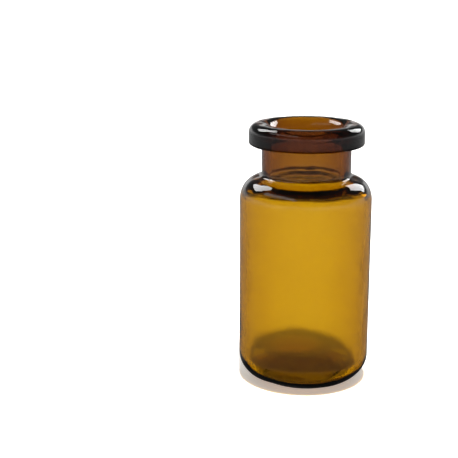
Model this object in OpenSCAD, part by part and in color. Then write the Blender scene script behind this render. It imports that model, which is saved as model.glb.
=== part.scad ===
// Sample vial of amber glass with a crimp neck, open, 10 ml class.
// One piece of glass: a section drawn once and turned round the Z axis.
// Z = 0 is the plane that the vial stands on, and +Z runs up through the mouth.

/* [Overall] */
// Height over the rim
height = 46; // [42:0.5:75]
// Outer diameter of the barrel
barrel_d = 23; // [22.4:0.1:24]
// Glass thickness of the barrel
wall = 1.05; // [0.95:0.05:1.2]
// Height at which the barrel ends and the shoulder begins
shoulder_z = 32.95; // [24:0.05:33.2]

/* [Rim] */
// Diameter over the rim that a crimp cap closes on
rim_d = 20; // [19.7:0.05:20.2]
// Height of the rim, from its underside to the sealing face
rim_h = 3.65; // [3.5:0.05:4]
// Rounding of the rim's upper outer edge
rim_top_r = 1.5; // [1.2:0.05:1.6]
// Rounding of the rim's lower outer edge
rim_low_r = 0.4; // [0.3:0.05:0.8]
// Diameter of the bore below the lip
bore_d = 12; // [11.8:0.05:12.2]
// Rounding of the lip into the bore
lip_r = 2; // [1.6:0.05:2.2]

/* [Neck and shoulder] */
// Outer diameter of the neck
neck_d = 15.5; // [15.2:0.05:15.8]
// Hollow rounding under the rim, where it meets the neck
under_rim_r = 0.4; // [0.3:0.05:0.6]
// Hollow rounding where the neck runs out into the shoulder
neck_foot_r = 0.8; // [0.6:0.05:1]
// Outer rounding of the shoulder
shoulder_r = 3.9; // [3.8:0.05:4.1]
// Height above the barrel's end at which its inside turns in under the shoulder
turn_h = 1.35; // [1.2:0.05:1.5]
// Inside rounding of that turn
turn_r = 1.95; // [1.6:0.05:2.2]
// Radius at which the inside of the shoulder grows steeper
steep_x = 8; // [7.8:0.05:8.2]
// Height above the barrel's end of that change of slope
steep_h = 2.3; // [2.2:0.05:2.45]
// Rounding of that change of slope
steep_r = 1.45; // [1:0.05:1.8]
// Height above the barrel's end at which the bore opens into the shoulder
throat_h = 3.95; // [3.8:0.05:4.1]
// Rounding of the bore's lower end
throat_r = 1; // [0.7:0.05:1.2]

/* [Base] */
// Outer rounding of the heel
heel_r = 4.6; // [4.2:0.1:5.2]
// Inside rounding of the heel
heel_in_r = 3.2; // [2.8:0.1:3.6]
// Thickness of the glass at the middle of the base
base_t = 1.75; // [1.5:0.05:2]
// Rise of the hollow in the underside at the axis
punt_h = 0.2; // [0.15:0.05:0.4]
// Radius of the hollow in the underside
punt_r = 5.6; // [5:0.1:6]

/* [Hidden] */
$fn = 96;

R = barrel_d / 2;        // barrel, outside
Ri = R - wall;           // barrel, inside
Rr = rim_d / 2;          // rim
Rn = neck_d / 2;         // neck, outside
Rb = bore_d / 2;         // bore
rim_z = height - rim_h;  // underside of the rim

// Centre of the shoulder's outer arc
sh_c = [R - shoulder_r, shoulder_z];
// Centre of the hollow arc that touches the neck and the shoulder's arc, and where it meets the shoulder
foot_c = [Rn + neck_foot_r, sh_c[1] + sqrt(pow(shoulder_r + neck_foot_r, 2) - pow(Rn + neck_foot_r - sh_c[0], 2))];
foot_t = sh_c + (foot_c - sh_c) * shoulder_r / norm(foot_c - sh_c);

// A corner q between p and n, rounded by r: the point where the arc leaves p-q, its centre, and where it meets q-n
function unit(v) = v / norm(v);
function half(p, q, n) = acos(unit(p - q) * unit(n - q)) / 2;
function from(p, q, n, r) = q + unit(p - q) * r / tan(half(p, q, n));
function about(p, q, n, r) = q + unit(unit(p - q) + unit(n - q)) * r / sin(half(p, q, n));
function onto(p, q, n, r) = q + unit(n - q) * r / tan(half(p, q, n));

// The inside of the shoulder runs through these points, from the barrel up to the bore
in_a = [Ri, shoulder_z - 4];
in_b = [Ri, shoulder_z + turn_h];
in_c = [steep_x, shoulder_z + steep_h];
in_d = [Rb, shoulder_z + throat_h];
in_e = [Rb, height];
b_from = from(in_a, in_b, in_c, turn_r);
b_about = about(in_a, in_b, in_c, turn_r);
b_onto = onto(in_a, in_b, in_c, turn_r);
c_from = from(in_b, in_c, in_d, steep_r);
c_about = about(in_b, in_c, in_d, steep_r);
c_onto = onto(in_b, in_c, in_d, steep_r);
d_from = from(in_c, in_d, in_e, throat_r);
d_about = about(in_c, in_d, in_e, throat_r);
d_onto = onto(in_c, in_d, in_e, throat_r);

// The underside is hollowed by a sphere of this radius, and the floor of the cavity keeps to the same centre
punt_s = (punt_r * punt_r + punt_h * punt_h) / (2 * punt_h);
dome_c = [0, punt_h - punt_s];
dome_s = punt_s + base_t;
// Centre of the heel's inside rounding, which touches the floor's dome and the barrel's inside
hi_c = [Ri - heel_in_r, dome_c[1] + sqrt(pow(dome_s + heel_in_r, 2) - pow(Ri - heel_in_r, 2))];
hi_t = dome_c + (hi_c - dome_c) * dome_s / norm(hi_c - dome_c);

// A rectangle between two corners
module cell(a, b) {
    translate(a) square(b - a);
}

// A disc about c
module disc(c, r) {
    translate(c) circle(r);
}

// Everything within the vial's outer surface, from the axis out
module outside() {
    // heel and barrel
    cell([0, 0], [R - heel_r, shoulder_z]);
    disc([R - heel_r, heel_r], heel_r);
    cell([0, heel_r], [R, shoulder_z]);
    // shoulder
    disc(sh_c, shoulder_r);
    // neck and its hollow foot
    cell([0, shoulder_z - 4], [Rn, rim_z + 1]);
    difference() {
        polygon([[Rn - 1, sh_c[1]], sh_c, foot_t, foot_c, [Rn - 1, foot_c[1]]]);
        disc(foot_c, neck_foot_r);
    }
    // hollow under the rim
    difference() {
        cell([Rn - 1, rim_z - under_rim_r], [Rn + under_rim_r, rim_z + 1]);
        disc([Rn + under_rim_r, rim_z - under_rim_r], under_rim_r);
    }
    // rim
    cell([0, rim_z], [Rr - rim_low_r, height - rim_top_r]);
    disc([Rr - rim_low_r, rim_z + rim_low_r], rim_low_r);
    cell([0, rim_z + rim_low_r], [Rr, height - rim_top_r]);
    disc([Rr - rim_top_r, height - rim_top_r], rim_top_r);
    cell([0, rim_z + rim_low_r], [Rr - rim_top_r, height]);
}

// The cavity and the bore, from past the axis out
module inside() {
    // domed floor and the heel's inside
    difference() {
        polygon([[-1, hi_t[1]], hi_t, hi_c, [-1, hi_c[1]]]);
        disc(dome_c, dome_s);
    }
    disc(hi_c, heel_in_r);
    // barrel
    cell([-1, hi_c[1]], [Ri, in_a[1] + 1]);
    // barrel's end and the lower slope of the shoulder
    polygon([[-1, in_a[1]], in_a, b_from, b_about, b_onto, in_c, [-1, in_c[1]]]);
    disc(b_about, turn_r);
    // change of slope
    difference() {
        polygon([[in_c[0] - 1, c_from[1]], c_from, c_about, c_onto, [in_c[0] - 1, c_onto[1]]]);
        disc(c_about, steep_r);
    }
    // upper slope and the bore
    polygon([[-1, in_c[1] - 0.5], [in_c[0], in_c[1] - 0.5], in_c, in_d, [-1, in_d[1]]]);
    difference() {
        polygon([[Rb - 1, d_from[1]], d_from, d_about, d_onto, [Rb - 1, d_onto[1]]]);
        disc(d_about, throat_r);
    }
    cell([-1, in_d[1] - 1], [Rb, height + 1]);
    // lip
    difference() {
        cell([Rb - 1, height - lip_r], [Rb + lip_r, height + 1]);
        disc([Rb + lip_r, height - lip_r], lip_r);
    }
}

module vial_body() {
    color([0.62, 0.40, 0.05])
    rotate_extrude() difference() {
        outside();
        inside();
        disc(dome_c, punt_s);
    }
}

vial_body();
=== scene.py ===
import math
import bpy
import numpy as np
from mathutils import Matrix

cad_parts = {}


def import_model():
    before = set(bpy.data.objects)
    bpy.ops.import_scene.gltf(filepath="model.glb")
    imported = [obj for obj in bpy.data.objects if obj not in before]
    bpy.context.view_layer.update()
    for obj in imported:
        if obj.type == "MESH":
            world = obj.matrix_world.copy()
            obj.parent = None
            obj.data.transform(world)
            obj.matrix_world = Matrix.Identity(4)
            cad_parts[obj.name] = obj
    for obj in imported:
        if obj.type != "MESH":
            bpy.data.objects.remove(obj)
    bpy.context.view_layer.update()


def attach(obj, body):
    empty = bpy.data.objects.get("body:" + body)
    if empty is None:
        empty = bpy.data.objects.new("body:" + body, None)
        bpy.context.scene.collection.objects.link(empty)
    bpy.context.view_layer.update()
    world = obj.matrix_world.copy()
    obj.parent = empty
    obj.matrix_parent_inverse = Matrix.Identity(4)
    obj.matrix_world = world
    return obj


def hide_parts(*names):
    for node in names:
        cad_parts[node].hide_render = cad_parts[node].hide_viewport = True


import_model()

MM = 0.001
scene = bpy.context.scene

# ---------------------------------------------------------------- profile, in mm
G = dict(H=46.0, R=11.5, WALL=1.05, SHZ=32.95, RR=10.0, RIM_H=3.65, RT=1.5, RL=0.4, RB=6.0, LIP=2.0,
         RN=7.75, UR=0.4, NF=0.8, SR=3.9, HEEL=4.6, PUNT_H=0.12, PUNT_R=5.9, FOOT_Q=4.0,
         # the inside from the bore down to the floor: (radius, height, rounding of the corner)
         INNER=[(6.0, 36.9, 1.0), (8.0, 35.25, 1.45), (10.45, 34.3, 1.95)],
         BASE=[(10.45, 1.65, 3.2), (3.0, 1.9, 3.0)], FLOOR_Z=1.95)


def arc(c, r, a0, a1, step=0.16):
    """Points on an arc about c, from angle a0 to a1 in degrees."""
    n = max(4, int(abs(math.radians(a1 - a0)) * r / step))
    return [(c[0] + r * math.cos(math.radians(a0 + (a1 - a0) * i / n)),
             c[1] + r * math.sin(math.radians(a0 + (a1 - a0) * i / n))) for i in range(n + 1)]


def line(a, b, step=0.5):
    n = max(1, int(math.dist(a, b) / step))
    return [(a[0] + (b[0] - a[0]) * i / n, a[1] + (b[1] - a[1]) * i / n) for i in range(n + 1)]


def ang(c, p):
    return math.degrees(math.atan2(p[1] - c[1], p[0] - c[0]))


def rounded(a, corners, b, step):
    """From a to b past the corners (x, y, rounding), in straight lines and arcs that touch them."""
    out = []
    pts = [a] + [c[:2] for c in corners] + [b]
    last = a
    for i, c in enumerate(corners):
        p, q, n = pts[i], pts[i + 1], pts[i + 2]
        u = ((p[0] - q[0]) / math.dist(p, q), (p[1] - q[1]) / math.dist(p, q))
        v = ((n[0] - q[0]) / math.dist(n, q), (n[1] - q[1]) / math.dist(n, q))
        half = math.acos(max(-1, min(1, u[0] * v[0] + u[1] * v[1]))) / 2
        t = c[2] / math.tan(half)
        s = (q[0] + u[0] * t, q[1] + u[1] * t)
        e = (q[0] + v[0] * t, q[1] + v[1] * t)
        m = (u[0] + v[0], u[1] + v[1]); k = math.hypot(*m)
        ctr = (q[0] + m[0] / k * c[2] / math.sin(half), q[1] + m[1] / k * c[2] / math.sin(half))
        a0, a1 = ang(ctr, s), ang(ctr, e)
        while a1 - a0 > 180: a1 -= 360
        while a1 - a0 < -180: a1 += 360
        out += line(last, s, step * 3)
        out += arc(ctr, c[2], a0, a1, step)
        last = e
    return out + line(last, b, step * 3)


def build_profile(g):
    H, R, RI = g["H"], g["R"], g["R"] - g["WALL"]
    RIM_Z = H - g["RIM_H"]
    RN, RR, RB, LIP, RT, RL, UR, NF, SR = (g[k] for k in ("RN", "RR", "RB", "LIP", "RT", "RL", "UR", "NF", "SR"))
    sh_c = (R - SR, g["SHZ"])
    fc = (RN + NF, g["SHZ"] + math.sqrt((SR + NF) ** 2 - (RN + NF - sh_c[0]) ** 2))
    d = math.dist(fc, sh_c)
    ft = (sh_c[0] + (fc[0] - sh_c[0]) * SR / d, sh_c[1] + (fc[1] - sh_c[1]) * SR / d)
    ps = (g["PUNT_R"] ** 2 + g["PUNT_H"] ** 2) / (2 * g["PUNT_H"])
    dc = (0.0, g["PUNT_H"] - ps)
    # the hollow in the underside runs out into the foot ring through a small rounding
    q, heel = g["FOOT_Q"], g["HEEL"]
    qc = (math.sqrt((ps + q) ** 2 - (q - dc[1]) ** 2), q)
    dq = math.dist(qc, dc)
    qt = (dc[0] + (qc[0] - dc[0]) * ps / dq, dc[1] + (qc[1] - dc[1]) * ps / dq)

    out = []
    out += arc(dc, ps, 90, ang(dc, qt), 0.3)
    out += arc(qc, q, ang(qc, qt), -90, 0.12)
    out += line((qc[0], 0), (R - heel, 0), 0.3) if qc[0] < R - heel else []
    out += arc((R - heel, heel), heel, -90, 0, 0.2)
    out += line((R, heel), (R, g["SHZ"]), 0.9)
    out += arc(sh_c, SR, 0, ang(sh_c, ft), 0.16)
    out += arc(fc, NF, ang(fc, ft) + 360 if ang(fc, ft) < 0 else ang(fc, ft), 180, 0.1)
    out += line((RN, fc[1]), (RN, RIM_Z - UR), 0.35)
    out += arc((RN + UR, RIM_Z - UR), UR, 180, 90, 0.06)
    out += line((RN + UR, RIM_Z), (RR - RL, RIM_Z), 0.2)
    out += arc((RR - RL, RIM_Z + RL), RL, -90, 0, 0.07)
    out += line((RR, RIM_Z + RL), (RR, H - RT), 0.2)
    out += arc((RR - RT, H - RT), RT, 0, 90, 0.08)
    out += line((RR - RT, H), (RB + LIP, H), 0.2)
    out += arc((RB + LIP, H - LIP), LIP, 90, 180, 0.06)
    out += rounded((RB, H - LIP), g["INNER"] + g["BASE"], (0.0, g["FLOOR_Z"]), 0.13)
    pts = [out[0]]
    for p in out[1:]:
        if math.dist(p, pts[-1]) > 1e-4:
            pts.append(p)
    pts[0] = (0.0, pts[0][1]); pts[-1] = (0.0, pts[-1][1])
    return np.array(pts)


P = build_profile(G)
NSEG = 208
print("profile points", len(P), "triangles", 2 * NSEG * (len(P) - 2))


def unevenness(prof, th):
    """How far hot-formed glass strays from the true shape, in mm along the surface's normal: waves round
    the vial and along the section, small on the barrel and larger where the glass was worked."""
    rng = np.random.default_rng(7)
    r, z = prof[:, 0], prof[:, 1]
    run = np.concatenate([[0], np.cumsum(np.hypot(np.diff(r), np.diff(z)))])
    top = int(np.argmax(z))
    outer = np.arange(len(r)) <= top
    amp = np.where(outer, 0.006, 0.012)
    amp = np.where(outer & (z > 33.0) & (z < 38.2), 0.03, amp)
    amp = np.where(outer & (z >= 38.2) & (z < 42.3), 0.010, amp)
    amp = np.where(outer & (z >= 42.3), 0.010, amp)
    amp = np.where(~outer & (z > 33.0) & (z < 38.5), 0.018, amp)
    amp = np.where(~outer & (z >= 38.5), 0.015, amp)
    amp = np.where(~outer & (z < 5.5), 0.010, amp)
    amp = np.where(outer & (z < 4.6), 0.005, amp)
    amp = np.convolve(np.pad(amp, 6, mode="edge"), np.ones(13) / 13, mode="valid")
    amp *= np.clip(r / 7.0, 0, 1) ** 2
    d = np.zeros((len(r), len(th)))
    for _ in range(22):
        m = int(rng.integers(1, 15))
        q = rng.uniform(-0.55, 0.55)
        d += math.sqrt(2 / 22) * np.cos(m * th[None, :] + q * run[:, None] + rng.uniform(0, 2 * math.pi))
    return d * amp[:, None]


def lean(prof, th):
    """The outside of the heel is cut back a little at the front, most on the -X side."""
    r, z = prof[:, 0], prof[:, 1]
    outer = np.arange(len(r)) <= int(np.argmax(z))
    a, b = np.clip((r - 6.6) / 1.9, 0, 1), np.clip((4.5 - z) / 3.0, 0, 1)
    w = np.where(outer, a * a * (3 - 2 * a) * b * b * (3 - 2 * b), 0.0)

    def hump(mid, wide):
        off = (np.degrees(th) - mid + 180) % 360 - 180
        return np.exp(-(off / wide) ** 2)
    return w[:, None] * (-0.6 * hump(-112, 42) - 0.25 * hump(-38, 36))[None, :]


def lathe_mesh(name, prof, nseg):
    th = np.linspace(0, 2 * math.pi, nseg, endpoint=False)
    t = np.gradient(prof, axis=0)
    t /= np.hypot(t[:, 0], t[:, 1])[:, None] + 1e-12
    nr, nz = t[:, 1], -t[:, 0]
    off = unevenness(prof, th)
    off[prof[:, 1] < 0.02] = 0
    top = int(np.argmax(prof[:, 1]))
    face = np.where(np.arange(len(prof)) <= top, 1.0, -1.0)[:, None]
    off = off + lean(prof, th) * face
    ring = prof[1:-1]
    RR = np.minimum(ring[:, 0:1] + nr[1:-1, None] * off[1:-1], 11.5)
    X = RR * np.cos(th)[None, :]
    Y = RR * np.sin(th)[None, :]
    Z = np.clip(ring[:, 1:2] + nz[1:-1, None] * off[1:-1], 0, 46.0)
    V = np.stack([X, Y, Z], -1).reshape(-1, 3)
    first = len(V); V = np.vstack([V, [[0, 0, prof[0, 1]], [0, 0, prof[-1, 1]]]])
    faces = []
    m = len(ring)
    for i in range(m - 1):
        a, b = i * nseg, (i + 1) * nseg
        for j in range(nseg):
            k = (j + 1) % nseg
            faces.append((a + j, a + k, b + k, b + j))
    for j in range(nseg):
        k = (j + 1) % nseg
        faces.append((first, k, j))
        faces.append((first + 1, (m - 1) * nseg + j, (m - 1) * nseg + k))
    me = bpy.data.meshes.new(name)
    me.from_pydata((V * MM).tolist(), [], faces)
    me.validate()
    me.polygons.foreach_set("use_smooth", [True] * len(me.polygons))
    me.update()
    return me


vial = bpy.data.objects.new("vial_glass", lathe_mesh("vial_glass", P, NSEG))
scene.collection.objects.link(vial)
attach(vial, "root")
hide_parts("vial_body")


# ---------------------------------------------------------------- materials
def amber():
    m = bpy.data.materials.new("amber_glass")
    m.use_nodes = True
    nt = m.node_tree
    nt.nodes.clear()
    out = nt.nodes.new("ShaderNodeOutputMaterial")
    p = nt.nodes.new("ShaderNodeBsdfPrincipled")
    p.inputs["Base Color"].default_value = (1, 1, 1, 1)
    p.inputs["Transmission Weight"].default_value = 1.0
    p.inputs["IOR"].default_value = 1.51
    p.inputs["Roughness"].default_value = 0.0
    v = nt.nodes.new("ShaderNodeVolumeAbsorption")
    v.inputs["Color"].default_value = (0.883, 0.824, 0.4, 1)
    v.inputs["Density"].default_value = 5000.0
    # drawn glass: faint streaks that run up the vial, a fine skin, and patches that are a touch less clear
    tc = nt.nodes.new("ShaderNodeTexCoord")
    last = None
    for scale, size, depth in (((1.0, 1.0, 0.12), 420.0, 0.000004), ((1.0, 1.0, 1.0), 1300.0, 0.0000006)):
        mp = nt.nodes.new("ShaderNodeMapping")
        mp.inputs["Scale"].default_value = scale
        n = nt.nodes.new("ShaderNodeTexNoise")
        n.inputs["Scale"].default_value = size
        n.inputs["Detail"].default_value = 2.0
        b = nt.nodes.new("ShaderNodeBump")
        b.inputs["Strength"].default_value = 1.0
        b.inputs["Distance"].default_value = depth
        nt.links.new(tc.outputs["Object"], mp.inputs["Vector"])
        nt.links.new(mp.outputs["Vector"], n.inputs["Vector"])
        nt.links.new(n.outputs["Fac"], b.inputs["Height"])
        if last:
            nt.links.new(last.outputs["Normal"], b.inputs["Normal"])
        last = b
    nt.links.new(last.outputs["Normal"], p.inputs["Normal"])
    haze = nt.nodes.new("ShaderNodeTexNoise")
    haze.inputs["Scale"].default_value = 160.0
    haze.inputs["Detail"].default_value = 4.0
    rough = nt.nodes.new("ShaderNodeMapRange")
    rough.inputs["From Min"].default_value = 0.35
    rough.inputs["From Max"].default_value = 0.75
    rough.inputs["To Min"].default_value = 0.0
    rough.inputs["To Max"].default_value = 0.03
    nt.links.new(tc.outputs["Object"], haze.inputs["Vector"])
    nt.links.new(haze.outputs["Fac"], rough.inputs["Value"])
    nt.links.new(rough.outputs["Result"], p.inputs["Roughness"])
    # shadow rays go straight through, so the table gets amber light and not a black shadow
    lp = nt.nodes.new("ShaderNodeLightPath")
    tr = nt.nodes.new("ShaderNodeBsdfTransparent")
    mix = nt.nodes.new("ShaderNodeMixShader")
    nt.links.new(lp.outputs["Is Shadow Ray"], mix.inputs["Fac"])
    nt.links.new(p.outputs[0], mix.inputs[1])
    nt.links.new(tr.outputs[0], mix.inputs[2])
    nt.links.new(mix.outputs[0], out.inputs["Surface"])
    nt.links.new(v.outputs[0], out.inputs["Volume"])
    return m


vial.data.materials.append(amber())


def sheet(name, corners, z, mat):
    me = bpy.data.meshes.new(name)
    me.from_pydata([(x * MM, y * MM, z * MM) for x, y in corners], [], [tuple(range(len(corners)))])
    o = bpy.data.objects.new(name, me)
    scene.collection.objects.link(o)
    me.materials.append(mat)
    return o


def ramp(nt, stops):
    cr = nt.nodes.new("ShaderNodeValToRGB")
    while len(cr.color_ramp.elements) < len(stops):
        cr.color_ramp.elements.new(0.5)
    for e, (p, g) in zip(cr.color_ramp.elements, stops):
        e.position = p
    for e, (p, g) in zip(cr.color_ramp.elements, stops):
        e.color = (*g, 1) if isinstance(g, (tuple, list)) else (g, g, g, 1)
    return cr


def pale():
    """Plain pale table: near-white, with a very faint mottle and grain."""
    m = bpy.data.materials.new("floor_pale")
    m.use_nodes = True
    nt = m.node_tree
    p = nt.nodes["Principled BSDF"]
    p.inputs["Specular IOR Level"].default_value = 0.1
    tc = nt.nodes.new("ShaderNodeTexCoord")
    n = nt.nodes.new("ShaderNodeTexNoise")
    n.inputs["Scale"].default_value = 9.0
    n.inputs["Detail"].default_value = 3.0
    cr = ramp(nt, [(0.3, (0.855, 0.855, 0.85)), (0.7, (0.875, 0.875, 0.87))])
    rough = nt.nodes.new("ShaderNodeMapRange")
    rough.inputs["To Min"].default_value = 0.75
    rough.inputs["To Max"].default_value = 0.95
    nt.links.new(tc.outputs["Object"], n.inputs["Vector"])
    nt.links.new(n.outputs["Fac"], cr.inputs["Fac"])
    nt.links.new(cr.outputs["Color"], p.inputs["Base Color"])
    nt.links.new(n.outputs["Fac"], rough.inputs["Value"])
    nt.links.new(rough.outputs["Result"], p.inputs["Roughness"])
    # the table glows a little all over, like a light table, so the shade under the heel isn't black
    p.inputs["Emission Color"].default_value = (1.0, 0.93, 0.82, 1)
    p.inputs["Emission Strength"].default_value = 0.38
    m.cycles.emission_sampling = "NONE"
    return m


floor = sheet("floor", [(-5000, -5000), (5000, -5000), (5000, 5000), (-5000, 5000)], -0.02, pale())
floor.visible_glossy = False   # the bright table isn't mirrored in the glass, which would turn it milky


# ---------------------------------------------------------------- light
def world():
    """A plain white backdrop; the glass sees a studio that is pale along the horizon and darker overhead."""
    w = bpy.data.worlds.new("studio")
    scene.world = w
    w.use_nodes = True
    nt = w.node_tree
    bg = nt.nodes["Background"]
    tc = nt.nodes.new("ShaderNodeTexCoord")
    sep = nt.nodes.new("ShaderNodeSeparateXYZ")
    up = nt.nodes.new("ShaderNodeMapRange")
    up.inputs["From Min"].default_value = -1.0
    up.inputs["From Max"].default_value = 1.0
    cr = ramp(nt, [(0.0, 0.02), (0.25, 0.03), (0.40, 0.3), (0.48, 0.6), (0.51, 0.9), (0.53, 0.85), (0.565, 0.8), (0.583, 0.2), (0.66, 0.09), (1.0, 0.05)])
    nt.links.new(tc.outputs["Generated"], sep.inputs[0])
    nt.links.new(sep.outputs["Z"], up.inputs["Value"])
    nt.links.new(up.outputs["Result"], cr.inputs["Fac"])
    lp = nt.nodes.new("ShaderNodeLightPath")
    mix = nt.nodes.new("ShaderNodeMix"); mix.data_type = "RGBA"
    nt.links.new(lp.outputs["Is Camera Ray"], mix.inputs["Factor"])
    nt.links.new(cr.outputs["Color"], mix.inputs["A"])
    mix.inputs["B"].default_value = (1.05, 1.05, 1.05, 1)
    nt.links.new(mix.outputs["Result"], bg.inputs["Color"])
    bg.inputs["Strength"].default_value = 1.0


world()


def softbox(name, az, el, dist, w, h, radiance, colour=(1, 1, 1), spread=180, seen=True, glossy=True, diffuse=True):
    """A soft rectangular light. az is measured from straight in front (-Y) towards +X, in degrees."""
    d = bpy.data.lights.new(name, "AREA")
    d.shape = "RECTANGLE"
    d.size, d.size_y = w * MM, h * MM
    d.energy = radiance * math.pi * (w * MM) * (h * MM)
    d.color = colour
    d.spread = math.radians(spread)
    o = bpy.data.objects.new(name, d)
    scene.collection.objects.link(o)
    a, e = math.radians(az), math.radians(el)
    n = (math.sin(a) * math.cos(e), -math.cos(a) * math.cos(e), math.sin(e))
    o.location = (n[0] * dist * MM, n[1] * dist * MM, (23 + n[2] * dist) * MM)
    from mathutils import Vector
    o.rotation_euler = Vector(n).to_track_quat("Z", "Y").to_euler()
    o.visible_camera = False
    o.visible_glossy = seen and glossy
    o.visible_transmission = seen
    o.visible_diffuse = diffuse
    return o


# one high key light in front throws the vial's amber shadow just behind it; a wide ceiling fills in
softbox("key", 4, 71, 6000, 560, 560, 670.0, seen=False)
softbox("ceiling", 180, 68, 2200, 6500, 6500, 0.5, seen=False)
softbox("behind", 180, 33, 900, 700, 160, 2.4, glossy=False, diffuse=False)
softbox("back_right", 135, 29, 700, 300, 300, 7.0, diffuse=False)
softbox("back_left", -134, 44, 700, 300, 330, 7.0, diffuse=False)
softbox("front_left", -62, 47, 700, 800, 150, 1.4, diffuse=False)

scene.view_settings.view_transform = "Standard"
scene.cycles.use_denoising = True
scene.cycles.max_bounces = 32
scene.cycles.transmission_bounces = 32
scene.cycles.glossy_bounces = 16
scene.cycles.transparent_max_bounces = 16

# ---------------------------------------------------------------- camera
F, PITCH, DIST, ZC, X0 = 1078.5, 0.25, 183.8, 74.16, 13.384
cam_data = bpy.data.cameras.new("camera")
cam_data.sensor_width = 36.0
cam_data.lens = F / 458 * 36
cam_data.clip_start = 0.005
cam_data.clip_end = 50
cam = bpy.data.objects.new("camera", cam_data)
scene.collection.objects.link(cam)
cam.location = (-X0 * MM, -DIST * MM, ZC * MM)
cam.rotation_euler = (math.pi / 2 - PITCH, 0, 0)
scene.camera = cam
